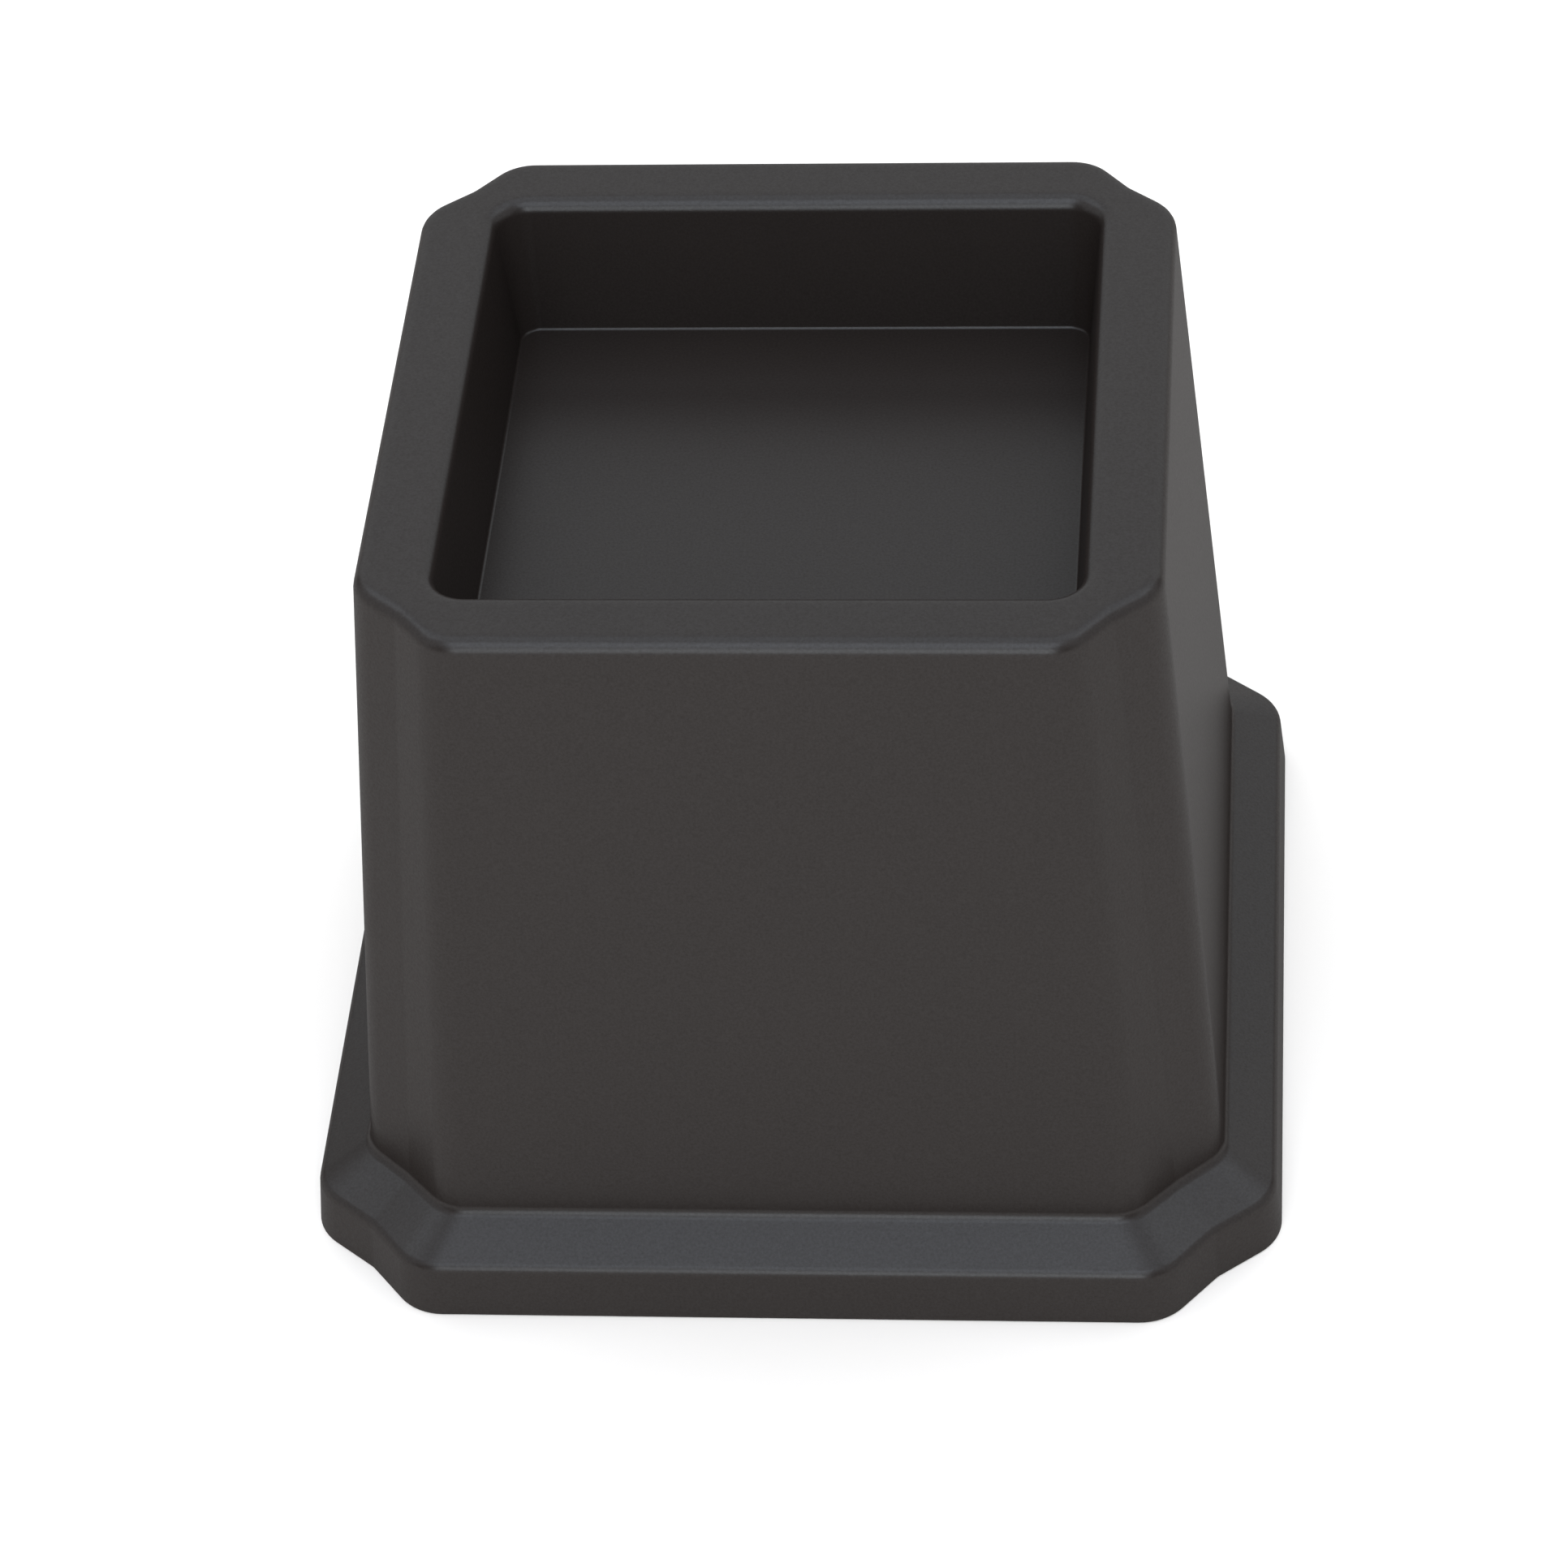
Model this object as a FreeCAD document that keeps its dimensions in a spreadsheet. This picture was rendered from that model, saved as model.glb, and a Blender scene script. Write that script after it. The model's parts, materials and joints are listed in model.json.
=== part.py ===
import FreeCAD, Part

import math
import os

import Sketcher

# Bed riser: one hollow plastic moulding with a flanged foot, four tapered walls, dished chamfers
# at the corners, a square leg pocket in the top and a lattice of ribs under the pocket floor.
# Millimetres and degrees. +Z is up, and the origin is the middle of the base on the ground.

# Driving sizes: alias, value, meaning
SIZES = [
    ("pocket_width", 97.0, "leg pocket across its mouth"),
    ("pocket_depth", 23.8, "rim down to the pocket floor"),
    ("pocket_draft", 5.5, "slope of the pocket walls"),
    ("pocket_corner_radius", 5.6, "plan radius of the pocket corners at the mouth"),
    ("pocket_mouth_fillet", 2.1, "round between rim and pocket walls"),
    ("pocket_floor_fillet", 0.5, "round at the foot of the pocket walls"),
    ("lift", 101.6, "pocket floor above the ground"),
    ("rim_land", 11.7, "rim across, from pocket to outer wall"),
    ("rim_fillet", 2.0, "round between rim and outer walls"),
    ("body_draft", 4.2, "slope of the outer walls"),
    ("foot_height", 14.2, "ground to the foot of the outer walls"),
    ("foot_fillet", 1.3, "round where the walls meet the flange"),
    ("flange_reach", 9.2, "base beyond the foot of the walls"),
    ("flange_side_height", 9.7, "ground to the top of the flange's side"),
    ("flange_draft", 5.3, "slope of the flange's side"),
    ("flange_fillet", 1.4, "round along the flange's upper edge"),
    ("rim_corner_leg", 13.8, "corner chamfer along each side, at the rim"),
    ("foot_corner_leg", 16.0, "corner chamfer along each side, at the foot of the walls"),
    ("base_corner_leg", 18.1, "corner chamfer along each side, at the flange"),
    ("corner_dish", 6.2, "inward turn of each half of a chamfer"),
    ("corner_radius", 9.0, "plan radius at both ends of a chamfer"),
    ("crease_radius", 5.0, "plan radius along the middle of a chamfer"),
    ("wall", 3.2, "thickness of walls and rim"),
    ("floor_thickness", 3.6, "thickness of the pocket floor"),
    ("rib_spacing", 44.0, "between the middles of two parallel ribs"),
    ("rib_root", 3.0, "rib thickness under the pocket floor"),
    ("rib_tip", 2.2, "rib thickness at its lower edge"),
    ("rib_gap", 1.5, "lower edge of the ribs above the ground"),
]

# Sizes that follow from the driving ones: alias, formula
DERIVED = [
    ("height", "=lift + pocket_depth"),
    ("pocket_half", "=pocket_width / 2"),
    ("rim_half", "=pocket_half + rim_land"),
    ("foot_half", "=rim_half + (height - foot_height) * tan(body_draft)"),
    ("base_half", "=foot_half + flange_reach"),
    ("flange_half", "=base_half - flange_side_height * tan(flange_draft)"),
    ("flange_slope", "=atan((foot_height - flange_side_height) / (flange_half - foot_half))"),
    ("inner_drop", "=wall * (1 / cos(flange_slope) - tan(flange_slope))"),
    ("inner_rim_height", "=height - wall"),
    ("inner_foot_height", "=foot_height - inner_drop"),
    ("inner_flange_height", "=flange_side_height - inner_drop"),
    ("inner_rim_half", "=rim_half + wall * tan(body_draft) - wall"),
    ("inner_foot_half", "=foot_half - wall"),
    ("inner_flange_half", "=flange_half - wall"),
    ("inner_base_half", "=base_half - wall"),
    ("inner_leg_cut", "=2 * wall * (1 - 1 / (sqrt(2) * cos(corner_dish))) / (1 + tan(corner_dish))"),
    ("inner_rim_leg", "=rim_corner_leg - inner_leg_cut"),
    ("inner_foot_leg", "=foot_corner_leg - inner_leg_cut"),
    ("inner_base_leg", "=base_corner_leg - inner_leg_cut"),
    ("inner_corner_radius", "=corner_radius - wall"),
    ("inner_crease_radius", "=crease_radius + wall"),
    ("well_half", "=pocket_half + wall"),
    ("well_depth", "=pocket_depth + floor_thickness"),
    ("well_corner_radius", "=pocket_corner_radius + wall"),
    ("rib_middle", "=rib_spacing / 2"),
    ("rib_root_height", "=lift - floor_thickness / 2"),
    ("rib_tip_reach", "=foot_half - wall / 2 + (foot_height - rib_gap) * tan(body_draft)"),
    ("rib_root_reach", "=foot_half - wall / 2 + (foot_height - rib_root_height) * tan(body_draft)"),
]

# The points of a sketch edge, and the sketch's own origin
START, END, CENTRE = 1, 2, 3
ORIGIN_POINT = (-1, 1)

# Quarter turns that carry one side of a square outline to the others
QUARTERS = range(4)

# Two places nearer than this are the same place
CLOSE = 1e-4

doc = FreeCAD.newDocument("bed_riser")


def make_sheet():
    """The spreadsheet of sizes, one row for each, with the alias as its name."""
    sheet = doc.addObject("Spreadsheet::Sheet", "Sizes")
    for row, (alias, value, meaning) in enumerate(SIZES, start=1):
        sheet.set(f"A{row}", meaning)
        sheet.set(f"B{row}", str(value))
        sheet.setAlias(f"B{row}", alias)
    for row, (alias, formula) in enumerate(DERIVED, start=len(SIZES) + 1):
        sheet.set(f"A{row}", alias.replace("_", " "))
        sheet.set(f"B{row}", formula)
        sheet.setAlias(f"B{row}", alias)
    doc.recompute()
    return sheet


sheet = make_sheet()


def size(alias):
    """A sheet value as a plain number."""
    value = sheet.get(alias)
    return float(getattr(value, "Value", value))


def origin_feature(body, role):
    """One of the body's own planes or axes."""
    return next(item for item in body.Origin.OriginFeatures if item.Role == role)


def level_sketch(body, name, height):
    """An empty level sketch whose height above the ground is a sheet value, or the ground itself."""
    sketch = body.newObject("Sketcher::SketchObject", name)
    sketch.AttachmentSupport = (origin_feature(body, "XY_Plane"), "")
    sketch.MapMode = "FlatFace"
    if height:
        sketch.setExpression("AttachmentOffset.Base.z", f"Sizes.{height}")
    return sketch


def bind(sketch, constraint, formula):
    """Adds a dimension and ties it to the sheet."""
    index = sketch.addConstraint(constraint)
    sketch.setExpression(f"Constraints[{index}]", formula)


def turned(x, y, quarter):
    """A point turned about the origin by a number of quarter turns."""
    for _ in range(quarter):
        x, y = -y, x
    return FreeCAD.Vector(x, y, 0)


def signed(alias, positive):
    """A formula for a sheet value on the positive or the negative side of the origin."""
    return f"Sizes.{alias}" if positive else f"-Sizes.{alias}"


def add_line(sketch, start, end):
    """A straight edge between two points."""
    return sketch.addGeometry(Part.LineSegment(start, end))


def add_arc(sketch, centre, radius, first, last):
    """An arc from one angle to another, in degrees, counter-clockwise."""
    circle = Part.Circle(centre, FreeCAD.Vector(0, 0, 1), radius)
    return sketch.addGeometry(Part.ArcOfCircle(circle, math.radians(first), math.radians(last)))


def join(sketch, joints):
    """Joins edge ends so that the outline runs smoothly through each of them."""
    for first, first_end, second, second_end in joints:
        sketch.addConstraint(Sketcher.Constraint("Tangent", first, first_end, second, second_end))


def fix_side(sketch, side, quarter, half):
    """Holds a straight side level or upright, half a width away from the middle."""
    upright = quarter % 2 == 0
    axis = "DistanceX" if upright else "DistanceY"
    sketch.addConstraint(Sketcher.Constraint("Vertical" if upright else "Horizontal", side))
    positive = quarter in (0, 1)
    place = size(half) if positive else -size(half)
    bind(sketch, Sketcher.Constraint(axis, *ORIGIN_POINT, side, START, place), signed(half, positive))


def same_radius(sketch, arcs, alias):
    """Gives all the arcs one radius from the sheet."""
    bind(sketch, Sketcher.Constraint("Radius", arcs[0], size(alias)), f"Sizes.{alias}")
    for arc in arcs[1:]:
        sketch.addConstraint(Sketcher.Constraint("Equal", arcs[0], arc))


def dished_outline(body, name, height, half, leg, radius, crease):
    """A square outline whose chamfered corners are dished: each chamfer is two straight halves
    that meet in a shallow inward crease. Every meeting of two straights is rounded."""
    sketch = level_sketch(body, name, height)
    side_at, chamfer, round_radius, crease_radius = map(size, (half, leg, radius, crease))
    dish_angle = size("corner_dish")
    turn_angle = 45 + dish_angle
    dish = math.radians(dish_angle)
    turn = math.radians(turn_angle)
    round_run = round_radius * math.tan(turn / 2)
    crease_run = crease_radius * math.tan(dish)
    crease_at = side_at - chamfer / 2 * (1 + math.tan(dish))
    crease_centre = crease_at + crease_radius / (math.sqrt(2) * math.cos(dish))
    crease_formula = (
        f"Sizes.{half} - Sizes.{leg} / 2 * (1 + tan(Sizes.corner_dish))"
        f" + Sizes.{crease} / (sqrt(2) * cos(Sizes.corner_dish))"
    )

    side_stop = side_at - chamfer - round_run
    half_start = (side_at - round_run * math.sin(turn), side_at - chamfer + round_run * math.cos(turn))
    half_end = (crease_at + crease_run * math.sin(turn), crease_at - crease_run * math.cos(turn))

    corners = []
    for quarter in QUARTERS:
        spin = 90 * quarter
        inward = spin + 225
        side = add_line(sketch, turned(side_at, -side_stop, quarter), turned(side_at, side_stop, quarter))
        centre = turned(side_at - round_radius, side_stop, quarter)
        first_round = add_arc(sketch, centre, round_radius, spin, spin + turn_angle)
        first_half = add_line(sketch, turned(*half_start, quarter), turned(*half_end, quarter))
        centre = turned(crease_centre, crease_centre, quarter)
        dip = add_arc(sketch, centre, crease_radius, inward - dish_angle, inward + dish_angle)
        second_half = add_line(sketch, turned(*half_end[::-1], quarter), turned(*half_start[::-1], quarter))
        centre = turned(side_stop, side_at - round_radius, quarter)
        second_round = add_arc(sketch, centre, round_radius, spin + 90 - turn_angle, spin + 90)
        corners.append((side, first_round, first_half, dip, second_half, second_round))

    for quarter, (side, first_round, first_half, dip, second_half, second_round) in enumerate(corners):
        next_side = corners[(quarter + 1) % len(corners)][0]
        join(sketch, [
            (side, END, first_round, START),
            (first_round, END, first_half, START),
            (first_half, END, dip, END),
            (dip, START, second_half, START),
            (second_half, END, second_round, START),
            (second_round, END, next_side, START),
        ])
        fix_side(sketch, side, quarter, half)
        centre = turned(crease_centre, crease_centre, quarter)
        for axis, place in (("DistanceX", centre.x), ("DistanceY", centre.y)):
            formula = crease_formula if place > 0 else f"-({crease_formula})"
            bind(sketch, Sketcher.Constraint(axis, *ORIGIN_POINT, dip, CENTRE, place), formula)
        heading = (135 + 90 * quarter + 180) % 360 - 180
        for line, sign in ((first_half, 1), (second_half, -1)):
            angle = math.radians(heading + sign * dish_angle)
            formula = f"{heading} + {sign} * Sizes.corner_dish"
            bind(sketch, Sketcher.Constraint("Angle", line, angle), formula)

    same_radius(sketch, [arc for corner in corners for arc in (corner[1], corner[5])], radius)
    same_radius(sketch, [corner[3] for corner in corners], crease)
    return sketch


def rounded_square(body, name, height, half, radius):
    """A square outline with rounded corners."""
    sketch = level_sketch(body, name, height)
    side_at, round_radius = size(half), size(radius)
    stop = side_at - round_radius
    sides, rounds = [], []
    for quarter in QUARTERS:
        spin = 90 * quarter
        sides.append(add_line(sketch, turned(side_at, -stop, quarter), turned(side_at, stop, quarter)))
        rounds.append(add_arc(sketch, turned(stop, stop, quarter), round_radius, spin, spin + 90))
    for quarter, (side, corner) in enumerate(zip(sides, rounds)):
        next_side = sides[(quarter + 1) % len(sides)]
        join(sketch, [(side, END, corner, START), (corner, END, next_side, START)])
        fix_side(sketch, side, quarter, half)
    same_radius(sketch, rounds, radius)
    return sketch


def rib_section(body, name, height, reach, thickness):
    """The level section of the rib that runs along X: a long thin rectangle."""
    sketch = level_sketch(body, name, height)
    end_at = size(reach)
    near = size("rib_middle") - size(thickness) / 2
    far = size("rib_middle") + size(thickness) / 2
    corners = [
        FreeCAD.Vector(-end_at, near, 0),
        FreeCAD.Vector(end_at, near, 0),
        FreeCAD.Vector(end_at, far, 0),
        FreeCAD.Vector(-end_at, far, 0),
    ]
    lines = [add_line(sketch, first, second) for first, second in zip(corners, corners[1:] + corners[:1])]
    for line, following in zip(lines, lines[1:] + lines[:1]):
        sketch.addConstraint(Sketcher.Constraint("Coincident", line, END, following, START))
    near_side, right_end, far_side, left_end = lines
    for direction, pair in (("Horizontal", (near_side, far_side)), ("Vertical", (right_end, left_end))):
        for line in pair:
            sketch.addConstraint(Sketcher.Constraint(direction, line))
    for axis, line, place, formula in (
        ("DistanceX", right_end, end_at, f"Sizes.{reach}"),
        ("DistanceX", left_end, -end_at, f"-Sizes.{reach}"),
        ("DistanceY", near_side, near, f"Sizes.rib_middle - Sizes.{thickness} / 2"),
        ("DistanceY", far_side, far, f"Sizes.rib_middle + Sizes.{thickness} / 2"),
    ):
        bind(sketch, Sketcher.Constraint(axis, *ORIGIN_POINT, line, START, place), formula)
    return sketch


def loft(body, kind, name, lower, upper):
    """A straight-sided loft from one level section to the next."""
    feature = body.newObject(kind, name)
    feature.Profile = lower
    feature.Sections = [upper]
    feature.Ruled = True
    doc.recompute()
    return feature


def stacked_lofts(body, kind, names, sections):
    """Lofts that stand on one another, each between two neighbouring sections."""
    for name, lower, upper in zip(names, sections, sections[1:]):
        feature = loft(body, kind, name, lower, upper)
    return feature


def level_edges(feature, height, outline=None):
    """Names of the level edges at a height, or only of those that lie on an outline drawn there."""
    names = []
    for number, edge in enumerate(feature.Shape.Edges, start=1):
        box = edge.BoundBox
        level = abs(box.ZMin - height) < CLOSE and abs(box.ZMax - height) < CLOSE
        middle = Part.Vertex(edge.valueAt((edge.FirstParameter + edge.LastParameter) / 2))
        if level and (outline is None or outline.Shape.distToShape(middle)[0] < CLOSE):
            names.append(f"Edge{number}")
    return names


def fillet(body, name, base, edges, radius):
    """Rounds the named edges of the base feature."""
    feature = body.newObject("PartDesign::Fillet", name)
    feature.Base = (base, edges)
    feature.setExpression("Radius", f"Sizes.{radius}")
    doc.recompute()
    return feature


def outer_form(body):
    """The outside of the moulding: flange, sloping flange top and tapered walls, with rounded edges."""
    rounds = ("corner_radius", "crease_radius")
    outlines = [
        dished_outline(body, name, height, half, leg, *rounds)
        for name, height, half, leg in (
            ("BaseOutline", None, "base_half", "base_corner_leg"),
            ("FlangeOutline", "flange_side_height", "flange_half", "base_corner_leg"),
            ("FootOutline", "foot_height", "foot_half", "foot_corner_leg"),
            ("RimOutline", "height", "rim_half", "rim_corner_leg"),
        )
    ]
    names = ("FlangeSide", "FlangeTop", "Walls")
    form = stacked_lofts(body, "PartDesign::AdditiveLoft", names, outlines)
    for name, height, radius in (
        ("FootRound", "foot_height", "foot_fillet"),
        ("FlangeRound", "flange_side_height", "flange_fillet"),
        ("RimRound", "height", "rim_fillet"),
    ):
        form = fillet(body, name, form, level_edges(form, size(height)), radius)
    return form


def hollow(body):
    """The cavity that makes the moulding a shell, open at the base, one wall inside the outer form."""
    rounds = ("inner_corner_radius", "inner_crease_radius")
    outlines = [
        dished_outline(body, name, height, half, leg, *rounds)
        for name, height, half, leg in (
            ("InnerBase", None, "inner_base_half", "inner_base_leg"),
            ("InnerFlange", "inner_flange_height", "inner_flange_half", "inner_base_leg"),
            ("InnerFoot", "inner_foot_height", "inner_foot_half", "inner_foot_leg"),
            ("InnerRim", "inner_rim_height", "inner_rim_half", "inner_rim_leg"),
        )
    ]
    names = ("FlangeHollow", "FlangeTopHollow", "WallsHollow")
    return stacked_lofts(body, "PartDesign::SubtractiveLoft", names, outlines)


def tapered(body, kind, name, sketch, depth):
    """A pad or pocket that goes down from its sketch and narrows by the pocket's draft."""
    feature = body.newObject(kind, name)
    feature.Profile = sketch
    feature.setExpression("Length", f"Sizes.{depth}")
    feature.setExpression("TaperAngle", "-Sizes.pocket_draft")
    feature.Reversed = kind == "PartDesign::Pad"
    doc.recompute()
    return feature


def leg_pocket(body):
    """The well that hangs from the rim, and the pocket in it that takes the leg of the bed."""
    well_outline = rounded_square(body, "WellOutline", "height", "well_half", "well_corner_radius")
    well = tapered(body, "PartDesign::Pad", "Well", well_outline, "well_depth")
    mouth = rounded_square(body, "PocketMouth", "height", "pocket_half", "pocket_corner_radius")
    pocket = tapered(body, "PartDesign::Pocket", "LegPocket", mouth, "pocket_depth")
    if pocket.Shape.Volume > well.Shape.Volume - size("pocket_depth") * size("pocket_half") ** 2:
        raise RuntimeError("the leg pocket is not cut out of the well")
    floor_edges = level_edges(pocket, size("lift"))
    floor_round = fillet(body, "PocketFloorRound", pocket, floor_edges, "pocket_floor_fillet")
    mouth_edges = level_edges(floor_round, size("height"), mouth)
    return fillet(body, "PocketMouthRound", floor_round, mouth_edges, "pocket_mouth_fillet")


def rib_lattice(body):
    """Two ribs each way under the pocket floor: one rib, turned to four places about the middle."""
    tip = rib_section(body, "RibTip", "rib_gap", "rib_tip_reach", "rib_tip")
    root = rib_section(body, "RibRoot", "rib_root_height", "rib_root_reach", "rib_root")
    rib = loft(body, "PartDesign::AdditiveLoft", "Rib", tip, root)
    lattice = body.newObject("PartDesign::PolarPattern", "RibLattice")
    lattice.Originals = [rib]
    lattice.Axis = (origin_feature(body, "Z_Axis"), [""])
    lattice.Angle = 360
    lattice.Occurrences = 4
    body.Tip = lattice
    doc.recompute()
    return lattice


def check_document():
    """Stops before anything is written if an object failed or the moulding is not one sound solid."""
    for item in doc.Objects:
        if "Invalid" in item.State or "Error" in item.State:
            raise RuntimeError(f"{item.Name} failed: {item.State}")
    shape = riser.Shape
    if shape.isNull() or not shape.isValid() or len(shape.Solids) != 1:
        raise RuntimeError("the riser is not one valid solid")


riser = doc.addObject("PartDesign::Body", "Riser")
riser.Label = "riser"
outer_form(riser)
hollow(riser)
leg_pocket(riser)
rib_lattice(riser)
check_document()

os.makedirs("parts", exist_ok=True)
riser.Shape.exportStep(f"parts/{riser.Label}.step")
print("riser", riser.Shape.BoundBox, "volume", round(riser.Shape.Volume))
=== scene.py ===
import json
import math

import bmesh
import bpy
from mathutils import Euler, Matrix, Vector


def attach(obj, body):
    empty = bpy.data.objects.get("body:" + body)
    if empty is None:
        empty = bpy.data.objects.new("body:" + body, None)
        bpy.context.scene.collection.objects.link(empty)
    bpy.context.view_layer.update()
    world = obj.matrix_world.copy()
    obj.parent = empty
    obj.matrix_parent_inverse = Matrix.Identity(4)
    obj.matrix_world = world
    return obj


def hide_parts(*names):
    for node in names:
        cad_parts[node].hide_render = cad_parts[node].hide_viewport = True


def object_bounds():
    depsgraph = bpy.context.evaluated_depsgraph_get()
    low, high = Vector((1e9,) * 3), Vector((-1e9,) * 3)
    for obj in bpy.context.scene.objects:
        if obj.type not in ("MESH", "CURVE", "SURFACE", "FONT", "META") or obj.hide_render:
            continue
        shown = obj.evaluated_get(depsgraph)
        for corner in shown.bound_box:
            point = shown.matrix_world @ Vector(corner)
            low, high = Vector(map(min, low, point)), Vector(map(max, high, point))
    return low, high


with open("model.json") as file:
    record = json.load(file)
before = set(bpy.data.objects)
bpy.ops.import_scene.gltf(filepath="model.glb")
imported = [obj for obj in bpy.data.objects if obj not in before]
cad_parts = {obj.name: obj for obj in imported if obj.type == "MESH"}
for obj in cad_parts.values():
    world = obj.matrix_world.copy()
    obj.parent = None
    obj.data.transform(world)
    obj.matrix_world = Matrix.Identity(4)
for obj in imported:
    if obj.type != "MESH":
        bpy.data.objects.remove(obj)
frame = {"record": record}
cad_low, cad_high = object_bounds()

# A bed riser: one charcoal plastic moulding, hollow underneath, with a leg pocket in its top.
# Lengths are in metres and angles in radians. The part stands on the origin with +Z up.
MM = 0.001


def mount_height(name):
    """Height of one of the part's mounts above the ground."""
    return next(m["pos_m"][2] for m in frame["record"]["mounts"] if m["name"] == name)


# Overall sizes, from the frame
BASE_HALF = cad_high.x
HEIGHT = cad_high.z
LIFT = mount_height("leg_seat")

# Leg pocket
POCKET_HALF = 48.5 * MM
POCKET_DRAFT = math.radians(5.5)
POCKET_CORNER = 5.6 * MM
POCKET_MOUTH_ROUND = 2.35 * MM
POCKET_FLOOR_ROUND = 0.5 * MM

# Rim, walls and flange
RIM_LAND = 11.7 * MM
RIM_ROUND = 2.4 * MM
FOOT_HEIGHT = 14.2 * MM
FOOT_ROUND = 2.0 * MM
FLANGE_REACH = 9.2 * MM
FLANGE_SIDE_HEIGHT = 9.7 * MM
FLANGE_DRAFT = math.radians(5.3)
FLANGE_ROUND = 2.0 * MM
GROUND_ROUND = 0.3 * MM

# Half widths of the levels, and how far the walls lean out for each unit of height
RIM_HALF = POCKET_HALF + RIM_LAND
FOOT_HALF = BASE_HALF - FLANGE_REACH
FLANGE_HALF = BASE_HALF - FLANGE_SIDE_HEIGHT * math.tan(FLANGE_DRAFT)
WALL_LEAN = (FOOT_HALF - RIM_HALF) / (HEIGHT - FOOT_HEIGHT)

# Dished chamfers at the corners: leg, angle of the dish and round of each level
RIM_CORNER = (13.3 * MM, math.radians(5.5), 8.0 * MM)
FOOT_CORNER = (14.0 * MM, math.radians(3.0), 7.0 * MM)
FLANGE_CORNER = (17.4 * MM, math.radians(6.2), 9.0 * MM)
BASE_CORNER = (18.1 * MM, math.radians(6.2), 9.0 * MM)
CREASE_ROUND = 5.0 * MM

# Shell and ribs underneath
WALL = 3.2 * MM
FLOOR_THICKNESS = 3.6 * MM
INSIDE_ROUND = 0.8 * MM
RIB_MIDDLE = 22.0 * MM
RIB_ROOT = 3.0 * MM
RIB_TIP = 2.2 * MM
RIB_GAP = 1.5 * MM
RIB_ROOT_FLARE = 1.2 * MM
RIB_TIP_ROUND = 0.4 * MM

# Steps of the mesh: along half a side, a corner round, half a chamfer, half a crease, and across a round
SIDE_STEPS = 8
CORNER_STEPS = 8
FACE_STEPS = 3
CREASE_STEPS = 3
ROUND_STEPS = 6
LONGEST_SPAN = 9.0 * MM
LAND_STRIP = 3.0 * MM
SHARP_ANGLE = math.radians(38)


def on_circle(centre, radius, angle):
    """A point on a level circle."""
    return Vector((centre[0] + radius * math.cos(angle), centre[1] + radius * math.sin(angle)))


def arc(centre, radius, first, last, steps):
    """Points along a level arc, without the last one."""
    return [on_circle(centre, radius, first + (last - first) * i / steps) for i in range(steps)]


def straight(start, end, steps):
    """Points along a straight, without the last one."""
    return [Vector(start).lerp(Vector(end), i / steps) for i in range(steps)]


class DishedOutline:
    """A square outline with a dished chamfer at each corner, every meeting of straights rounded."""

    def __init__(self, half, leg, dish, corner, crease=CREASE_ROUND):
        self.half = half
        self.leg = leg
        self.dish = dish
        self.turn = math.radians(45) + dish
        self.corner = corner
        self.crease = crease

    def inset(self, distance):
        """The outline that runs inside this one at an even distance."""
        leg = self.leg - distance * (1 - math.tan(self.turn / 2))
        corner, crease = self.corner - distance, self.crease + distance
        return DishedOutline(self.half - distance, leg, self.dish, corner, crease)

    def eighth(self):
        """Points from the middle of a side to the middle of the next corner."""
        stop = self.half - self.leg - self.corner * math.tan(self.turn / 2)
        round_centre = (self.half - self.corner, stop)
        dip = self.half - self.leg / 2 * (1 + math.tan(self.dish))
        dip_centre = [dip + self.crease / (math.sqrt(2) * math.cos(self.dish))] * 2
        inward = math.radians(225)
        face_start = on_circle(round_centre, self.corner, self.turn)
        face_end = on_circle(dip_centre, self.crease, inward + self.dish)
        return [
            *straight((self.half, 0), (self.half, stop), SIDE_STEPS),
            *arc(round_centre, self.corner, 0, self.turn, CORNER_STEPS),
            *straight(face_start, face_end, FACE_STEPS),
            *arc(dip_centre, self.crease, inward + self.dish, inward, CREASE_STEPS),
            on_circle(dip_centre, self.crease, inward),
        ]


class RoundedSquare:
    """A square outline with rounded corners."""

    def __init__(self, half, corner):
        self.half = half
        self.corner = corner

    def inset(self, distance):
        """The outline that runs inside this one at an even distance."""
        return RoundedSquare(self.half - distance, self.corner - distance)

    def eighth(self):
        """Points from the middle of a side to the middle of the next corner."""
        stop = self.half - self.corner
        steps = CORNER_STEPS + FACE_STEPS + CREASE_STEPS
        middle = math.radians(45)
        return [
            *straight((self.half, 0), (self.half, stop), SIDE_STEPS),
            *arc((stop, stop), self.corner, 0, middle, steps),
            on_circle((stop, stop), self.corner, middle),
        ]


def ring(outline, height):
    """The whole outline at a height, as a closed ring of points."""
    eighth = outline.eighth()
    quarter = eighth + [point.yx for point in reversed(eighth[1:-1])]
    points = []
    for _ in range(4):
        points += [Vector((*point, height)) for point in quarter]
        quarter = [Vector((-point.y, point.x)) for point in quarter]
    return points


def round_corner(before, corner, after, radius):
    """Points of the round between two straights that meet at a corner."""
    to_before = (before - corner).normalized()
    to_after = (after - corner).normalized()
    half_angle = to_before.angle(to_after) / 2
    run = radius / math.tan(half_angle)
    centre = corner + (to_before + to_after).normalized() * (radius / math.sin(half_angle))
    first = (corner + to_before * run - centre).normalized()
    last = (corner + to_after * run - centre).normalized()
    return [centre + first.slerp(last, i / ROUND_STEPS) * radius for i in range(ROUND_STEPS + 1)]


def rounded_rings(section):
    """Rings of a skin from the rings at the corners of its section, each given with its radius."""
    rings = [section[0][0]]
    for (before, _), (corner, radius), (after, _) in zip(section, section[1:], section[2:]):
        if radius:
            rounds = [round_corner(*points, radius) for points in zip(before, corner, after)]
            rings += [list(points) for points in zip(*rounds)]
        else:
            rings.append(corner)
    return rings + [section[-1][0]]


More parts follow.
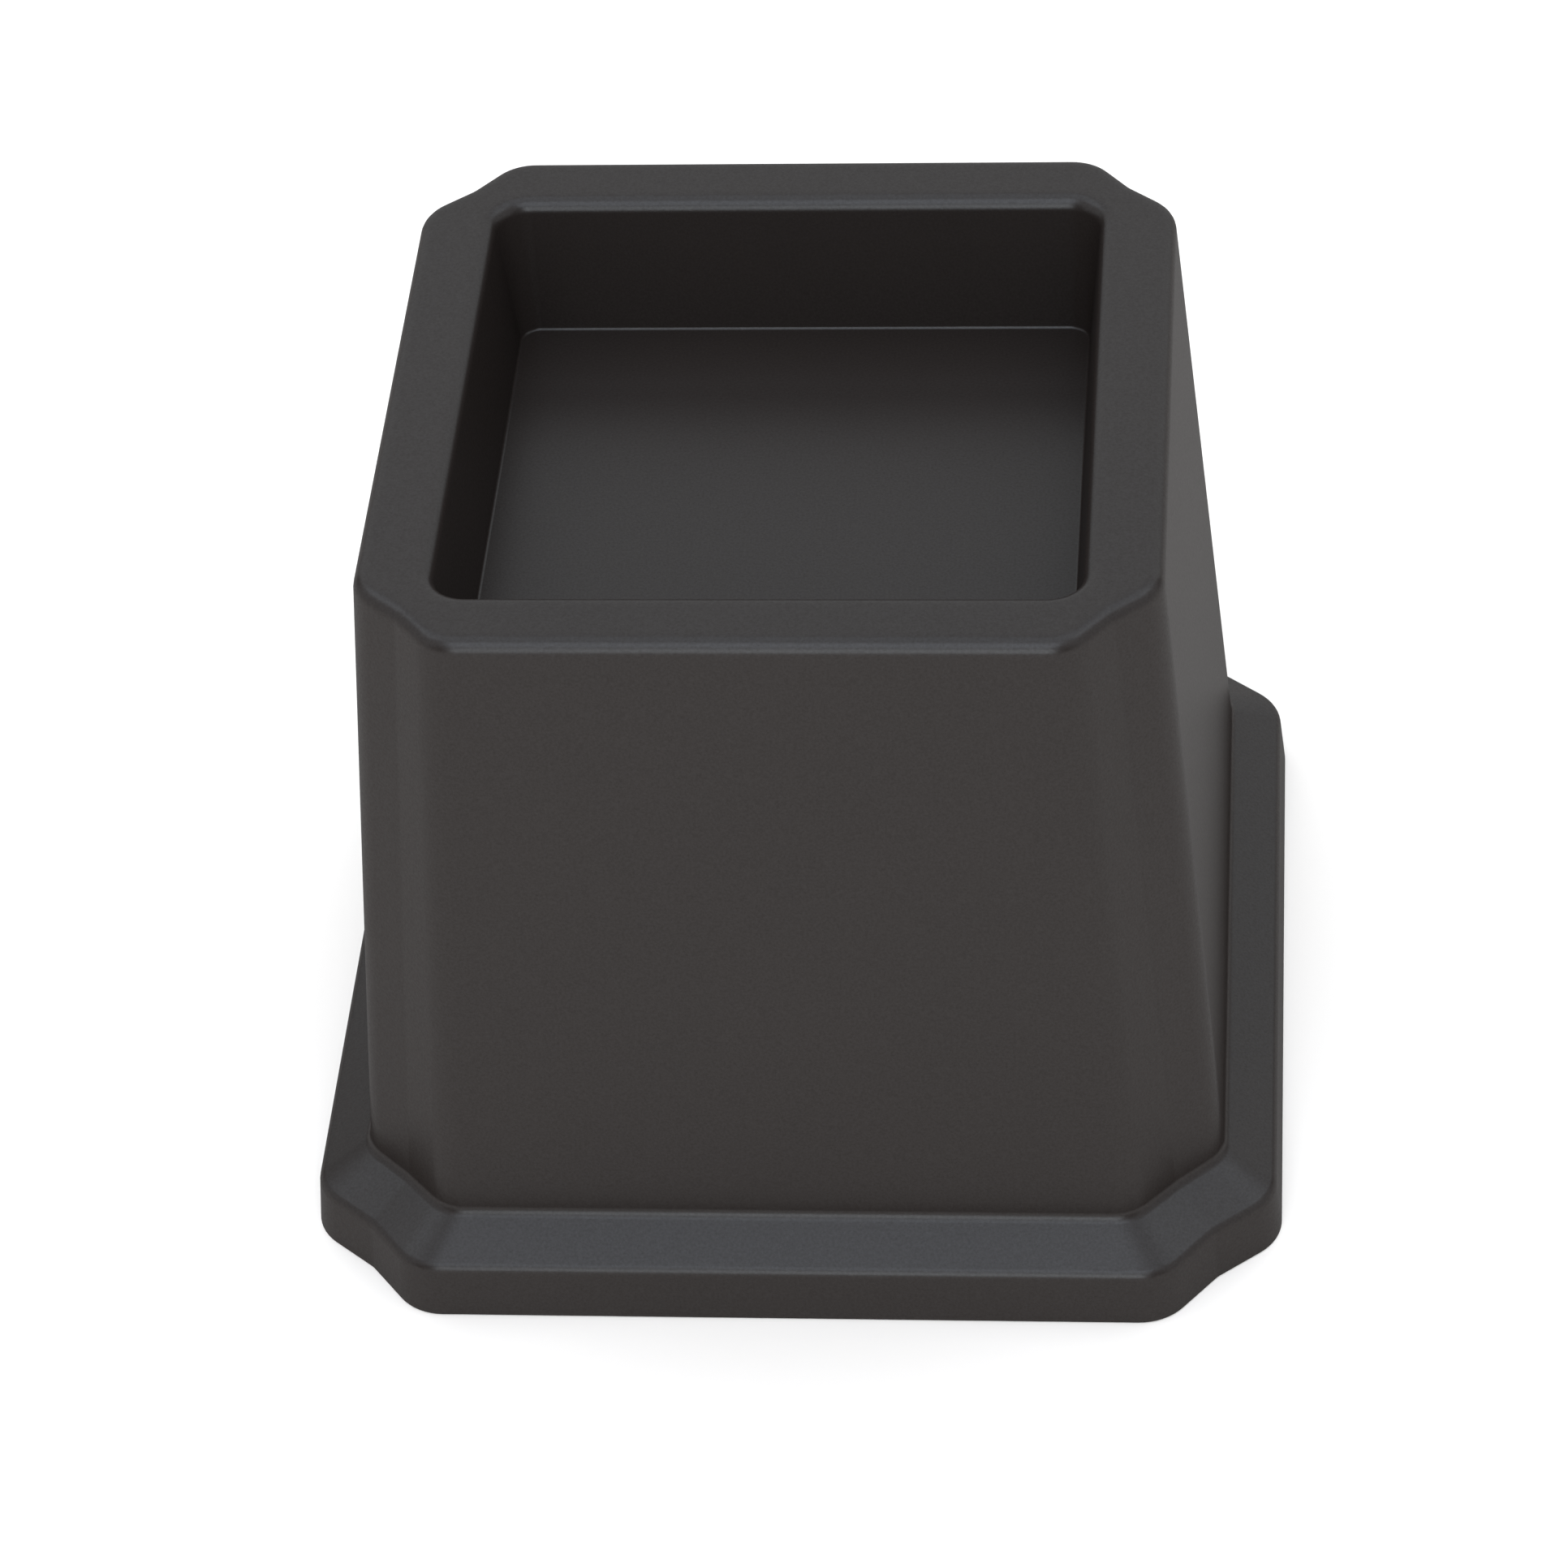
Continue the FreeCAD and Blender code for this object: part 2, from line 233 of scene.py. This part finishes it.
def evenly_spaced(rings):
    """The same rings with more between any two that lie far apart."""
    spaced = [rings[0]]
    for near, far in zip(rings, rings[1:]):
        steps = math.ceil((far[0] - near[0]).length / LONGEST_SPAN)
        for i in range(1, steps + 1):
            spaced.append([a.lerp(b, i / steps) for a, b in zip(near, far)])
    return spaced


def mesh_object(name, points, faces):
    """A new object from points and faces, with its faces turned outwards."""
    mesh = bpy.data.meshes.new(name)
    mesh.from_pydata(points, [], faces)
    shape = bmesh.new()
    shape.from_mesh(mesh)
    bmesh.ops.recalc_face_normals(shape, faces=shape.faces)
    shape.to_mesh(mesh)
    shape.free()
    piece = bpy.data.objects.new(name, mesh)
    bpy.context.scene.collection.objects.link(piece)
    return piece


def skin(name, rings):
    """A closed object whose skin runs from ring to ring, with a flat face in the first and last."""
    count = len(rings[0])
    points = [point for each in rings for point in each]
    faces = [tuple(range(count)), tuple(range(len(points) - count, len(points)))]
    for low in range(0, len(points) - count, count):
        for i in range(count):
            after = (i + 1) % count
            faces.append((low + i, low + after, low + count + after, low + count + i))
    return mesh_object(name, points, faces)


def outer_section():
    """Corners of the outside, from the pocket floor over the rim and down to the ground."""
    pocket = RoundedSquare(POCKET_HALF, POCKET_CORNER)
    pocket_floor = pocket.inset((HEIGHT - LIFT) * math.tan(POCKET_DRAFT))
    rim = DishedOutline(RIM_HALF, *RIM_CORNER)
    foot = DishedOutline(FOOT_HALF, *FOOT_CORNER)
    flange = DishedOutline(FLANGE_HALF, *FLANGE_CORNER)
    base = DishedOutline(BASE_HALF, *BASE_CORNER)
    return [
        (ring(pocket_floor.inset(LAND_STRIP), LIFT), 0),
        (ring(pocket_floor, LIFT), POCKET_FLOOR_ROUND),
        (ring(pocket, HEIGHT), POCKET_MOUTH_ROUND),
        (ring(pocket.inset(-LAND_STRIP), HEIGHT), 0),
        (ring(rim.inset(LAND_STRIP), HEIGHT), 0),
        (ring(rim, HEIGHT), RIM_ROUND),
        (ring(foot, FOOT_HEIGHT), FOOT_ROUND),
        (ring(flange, FLANGE_SIDE_HEIGHT), FLANGE_ROUND),
        (ring(base, 0), GROUND_ROUND),
        (ring(base.inset(WALL / 2), 0), 0),
    ]


def inner_section():
    """Corners of the inside, from the ground up the walls, round the well and under its floor."""
    slope = math.atan2(FOOT_HEIGHT - FLANGE_SIDE_HEIGHT, FLANGE_HALF - FOOT_HALF)
    drop = WALL * (1 / math.cos(slope) - math.tan(slope))
    underside = LIFT - FLOOR_THICKNESS
    roof = HEIGHT - WALL
    base = DishedOutline(BASE_HALF, *BASE_CORNER)
    flange = DishedOutline(FLANGE_HALF, *FLANGE_CORNER).inset(WALL)
    foot = DishedOutline(FOOT_HALF, *FOOT_CORNER).inset(WALL)
    top = DishedOutline(RIM_HALF + WALL * WALL_LEAN, *RIM_CORNER).inset(WALL)
    well = RoundedSquare(POCKET_HALF + WALL, POCKET_CORNER + WALL)
    well_roof = well.inset(WALL * math.tan(POCKET_DRAFT))
    well_floor = well.inset((HEIGHT - underside) * math.tan(POCKET_DRAFT))
    return [
        (ring(base.inset(WALL / 2), 0), 0),
        (ring(base.inset(WALL), 0), GROUND_ROUND),
        (ring(flange, FLANGE_SIDE_HEIGHT - drop), INSIDE_ROUND),
        (ring(foot, FOOT_HEIGHT - drop), INSIDE_ROUND),
        (ring(top, roof), INSIDE_ROUND),
        (ring(well_roof, roof), INSIDE_ROUND),
        (ring(well_floor, underside), INSIDE_ROUND),
        (ring(well_floor.inset(LAND_STRIP), underside), 0),
    ]


def rib(name, along_x, side):
    """One rib under the pocket floor, reaching from wall to wall and flared at its root."""
    root = LIFT - FLOOR_THICKNESS / 2
    ceiling = LIFT - FLOOR_THICKNESS

    def level(height, extra):
        """A level section of the rib, thicker by some extra on each face."""
        share = (height - RIB_GAP) / (root - RIB_GAP)
        thickness = RIB_TIP + (RIB_ROOT - RIB_TIP) * share
        reach = FOOT_HALF - WALL / 2 + (FOOT_HEIGHT - height) * WALL_LEAN
        across = thickness / 2 + extra
        corners = ((-reach, -across), (reach, -across), (reach, across), (-reach, across))
        moved = [(run, side * RIB_MIDDLE + off) for run, off in corners]
        return [Vector((run, off, height) if along_x else (off, run, height)) for run, off in moved]

    quarter_turn = math.radians(90)
    tip, flare = [], []
    for i in range(ROUND_STEPS + 1):
        bend = quarter_turn * i / ROUND_STEPS
        done, left = 1 - math.cos(bend), 1 - math.sin(bend)
        tip.append(level(RIB_GAP + RIB_TIP_ROUND * done, -RIB_TIP_ROUND * left))
        flare.append(level(ceiling - RIB_ROOT_FLARE * left, RIB_ROOT_FLARE * done))
    return skin(name, tip + flare + [level(root, RIB_ROOT_FLARE)])


def fuse(piece, others):
    """Joins other objects to a piece as one clean body, and removes them."""
    for other in others:
        union = piece.modifiers.new("union", "BOOLEAN")
        union.operation = "UNION"
        union.solver = "EXACT"
        union.object = other
        shown = piece.evaluated_get(bpy.context.evaluated_depsgraph_get())
        fused = bpy.data.meshes.new_from_object(shown)
        piece.modifiers.remove(union)
        piece.data = fused
        bpy.data.objects.remove(other)


def moulding():
    """The whole moulding as one piece, smooth over its rounds and flat on its faces."""
    outside = evenly_spaced(rounded_rings(outer_section()))
    inside = rounded_rings(inner_section())
    piece = skin("riser_moulding", outside + inside[1:])
    fuse(piece, [rib(f"rib_{axis}{side}", axis == "x", side) for axis in "xy" for side in (-1, 1)])
    piece.data.polygons.foreach_set("use_smooth", [True] * len(piece.data.polygons))
    piece.data.set_sharp_from_angle(angle=SHARP_ANGLE)
    normals = piece.modifiers.new("flat faces", "WEIGHTED_NORMAL")
    normals.keep_sharp = True
    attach(piece, "root")
    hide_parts("riser")
    return piece


# Sockets of a colour Mix node, which share their names with others
MIX_FIRST, MIX_SECOND, MIX_RESULT = 6, 7, 2

# Middle of a noise that runs from 0 to 1
NOISE_MIDDLE = 0.5


class Value:
    """A shader output that takes part in Python sums: each operator adds a Math node."""

    def __init__(self, finish, socket):
        self.finish = finish
        self.socket = socket

    def combine(self, operation, first, second):
        return self.finish.add("ShaderNodeMath", {"operation": operation}, {0: first, 1: second})

    def __add__(self, other):
        return self.combine("ADD", self, other)

    def __radd__(self, other):
        return self.combine("ADD", other, self)

    def __sub__(self, other):
        return self.combine("SUBTRACT", self, other)

    def __rsub__(self, other):
        return self.combine("SUBTRACT", other, self)

    def __mul__(self, other):
        return self.combine("MULTIPLY", self, other)

    def __rmul__(self, other):
        return self.combine("MULTIPLY", other, self)


class Finish:
    """A material or the world, with its shader nodes."""

    def __init__(self, owner):
        owner.use_nodes = True
        self.owner = owner
        self.tree = owner.node_tree
        self.tree.nodes.clear()

    def add(self, kind, settings=None, inputs=None, output=0):
        """Adds a node: first its settings, then its sockets' values or links. Gives one output."""
        node = self.tree.nodes.new(kind)
        for name, value in (settings or {}).items():
            setattr(node, name, value)
        for name, value in (inputs or {}).items():
            if isinstance(value, Value):
                self.tree.links.new(value.socket, node.inputs[name])
            else:
                node.inputs[name].default_value = value
        return Value(self, node.outputs[output]) if len(node.outputs) else node

    def blend(self, factor, first, second):
        """A colour between two others."""
        inputs = {"Factor": factor, MIX_FIRST: first, MIX_SECOND: second}
        return self.add("ShaderNodeMix", {"data_type": "RGBA"}, inputs, output=MIX_RESULT)

    def noise(self, place, cell, detail):
        """Cloudy noise between 0 and 1 whose spots are about one cell across."""
        inputs = {"Vector": place, "Scale": 1 / cell, "Detail": detail}
        return self.add("ShaderNodeTexNoise", {"noise_dimensions": "3D"}, inputs)


# Charcoal plastic: a dark and a light shade of one colour, with a dull skin over them that carries
# the sheen, and fine grain and wide clouding that vary both
DARK_SHADE = (0.0142, 0.0109, 0.0096, 1)
LIGHT_SHADE = (0.0193, 0.0147, 0.0129, 1)
SKIN_SHEEN = 0.2
SKIN_ROUGHNESS = 0.32
SKIN_IOR = 2.0
BODY_ROUGHNESS = 0.6
GRAIN_CELL = 0.42 * MM
FINE_GRAIN_CELL = 0.2 * MM
FINE_GRAIN_SHARE = 0.3
GRAIN_DEPTH = 0.1 * MM
GRAIN_STRENGTH = 0.7
CLOUD_CELL = 34 * MM
CLOUD_SHARE = 0.45
SHEEN_VARIES = 0.9
ROUGHNESS_VARIES = 0.2


def charcoal_plastic():
    """Matte moulded plastic: spark-eroded grain in its height, sheen and shade, with faint clouding."""
    finish = Finish(bpy.data.materials.new("charcoal_plastic"))
    place = finish.add("ShaderNodeTexCoord", output="Object")
    coarse = finish.noise(place, GRAIN_CELL, detail=2)
    fine = finish.noise(place, FINE_GRAIN_CELL, detail=1)
    cloud = finish.noise(place, CLOUD_CELL, detail=3)
    grain = coarse + (fine - coarse) * FINE_GRAIN_SHARE
    shade = grain + (cloud - grain) * CLOUD_SHARE
    swing = grain - NOISE_MIDDLE
    bump = finish.add("ShaderNodeBump", None, {
        "Strength": GRAIN_STRENGTH,
        "Distance": GRAIN_DEPTH,
        "Height": grain,
    })
    surface = finish.add("ShaderNodeBsdfPrincipled", None, {
        "Base Color": finish.blend(shade, DARK_SHADE, LIGHT_SHADE),
        "Roughness": BODY_ROUGHNESS + swing * ROUGHNESS_VARIES,
        "Specular IOR Level": 0,
        "Coat Weight": SKIN_SHEEN * (1 + swing * SHEEN_VARIES),
        "Coat Roughness": SKIN_ROUGHNESS,
        "Coat IOR": SKIN_IOR,
        "Normal": bump,
    })
    finish.add("ShaderNodeOutputMaterial", None, {"Surface": surface})
    return finish.owner


# Studio: a pale floor, a little whiter to the eye than its colour, in dim light from all round
FLOOR_HALF = 20.0
FLOOR_LEVEL = -0.05 * MM
FLOOR_COLOUR = (0.82, 0.755, 0.7, 1)
FLOOR_LIFT = 0.12
WORLD_COLOUR = (1.0, 0.96, 0.92, 1)
WORLD_STRENGTH = 0.15

# Lamps: name, place, width, height, power in watts, colour
AIM = Vector((0, 0, 0.06))
LAMPS = [
    ("front_low", Vector((0, -3.8, 1.44)), 2.2, 2.2, 76, (0.87, 0.94, 1.0)),
    ("front_high", Vector((0, -1.9, 3.35)), 2.7, 2.7, 88, (0.8, 0.89, 1.0)),
    ("overhead", Vector((0, 0.95, 3.5)), 7.0, 2.7, 116, (0.8, 0.9, 1.0)),
    ("left", Vector((-3.1, -0.25, 1.95)), 4.8, 4.4, 56, (0.9, 0.95, 1.0)),
    ("right", Vector((3.1, -0.25, 1.95)), 4.8, 4.4, 54, (0.9, 0.95, 1.0)),
    ("back", Vector((0, 3.63, 1.75)), 8.0, 3.6, 128, (0.9, 0.96, 1.0)),
]


def seen_directly(finish):
    """One for rays from the camera or from a shiny or clear surface, and nothing for the rest."""
    rays = [
        finish.add("ShaderNodeLightPath", output=name)
        for name in ("Is Camera Ray", "Is Glossy Ray", "Is Transmission Ray")
    ]
    total = rays[0] + rays[1] + rays[2]
    return finish.add("ShaderNodeMath", {"operation": "MINIMUM"}, {0: total, 1: 1})


def studio_floor():
    """A large level floor just under the part."""
    sides = ((-1, -1), (1, -1), (1, 1), (-1, 1))
    corners = [(x * FLOOR_HALF, y * FLOOR_HALF, FLOOR_LEVEL) for x, y in sides]
    floor = mesh_object("floor", corners, [(0, 1, 2, 3)])
    finish = Finish(bpy.data.materials.new("pale_floor"))
    matte = finish.add("ShaderNodeBsdfDiffuse", None, {"Color": FLOOR_COLOUR})
    glow = finish.add("ShaderNodeEmission", None, {"Strength": seen_directly(finish) * FLOOR_LIFT})
    both = finish.add("ShaderNodeAddShader", None, {0: matte, 1: glow})
    finish.add("ShaderNodeOutputMaterial", None, {"Surface": both})
    floor.data.materials.append(finish.owner)


def studio_world():
    """Dim soft light from all round."""
    finish = Finish(bpy.data.worlds.new("studio"))
    light = finish.add("ShaderNodeBackground", None, {"Color": WORLD_COLOUR, "Strength": WORLD_STRENGTH})
    finish.add("ShaderNodeOutputWorld", None, {"Surface": light})
    bpy.context.scene.world = finish.owner


def studio_lamps():
    """Soft panels that look at the part."""
    for name, place, width, height, power, colour in LAMPS:
        data = bpy.data.lights.new(name, "AREA")
        data.shape = "RECTANGLE"
        data.size = width
        data.size_y = height
        data.energy = power
        data.color = colour
        lamp = bpy.data.objects.new(name, data)
        lamp.location = place
        lamp.rotation_euler = (AIM - place).to_track_quat("-Z", "Y").to_euler()
        bpy.context.scene.collection.objects.link(lamp)


# Camera: where the photograph was taken from, turned without a roll to look at the part
CAMERA_PLACE = Vector((80.3, -686.8, 664.8)) * MM
CAMERA_PITCH = math.radians(37.29)
CAMERA_AIM = Vector((-2.5, -9.0, 52.0)) * MM
CAMERA_LENS = 131
SENSOR_WIDTH = 36


def studio_camera():
    """The camera, level from side to side as in the photograph."""
    data = bpy.data.cameras.new("camera")
    data.sensor_width = SENSOR_WIDTH
    data.lens = CAMERA_LENS
    camera = bpy.data.objects.new("camera", data)
    camera.location = CAMERA_PLACE
    looking = Euler((math.radians(90) - CAMERA_PITCH, 0, 0)).to_quaternion()
    ahead = Vector((0, math.cos(CAMERA_PITCH), -math.sin(CAMERA_PITCH)))
    camera.rotation_mode = "QUATERNION"
    camera.rotation_quaternion = ahead.rotation_difference(CAMERA_AIM - CAMERA_PLACE) @ looking
    bpy.context.scene.collection.objects.link(camera)
    bpy.context.scene.camera = camera


riser = moulding()
riser.data.materials.append(charcoal_plastic())
studio_floor()
studio_world()
studio_lamps()
studio_camera()
bpy.context.scene.view_settings.view_transform = "Standard"
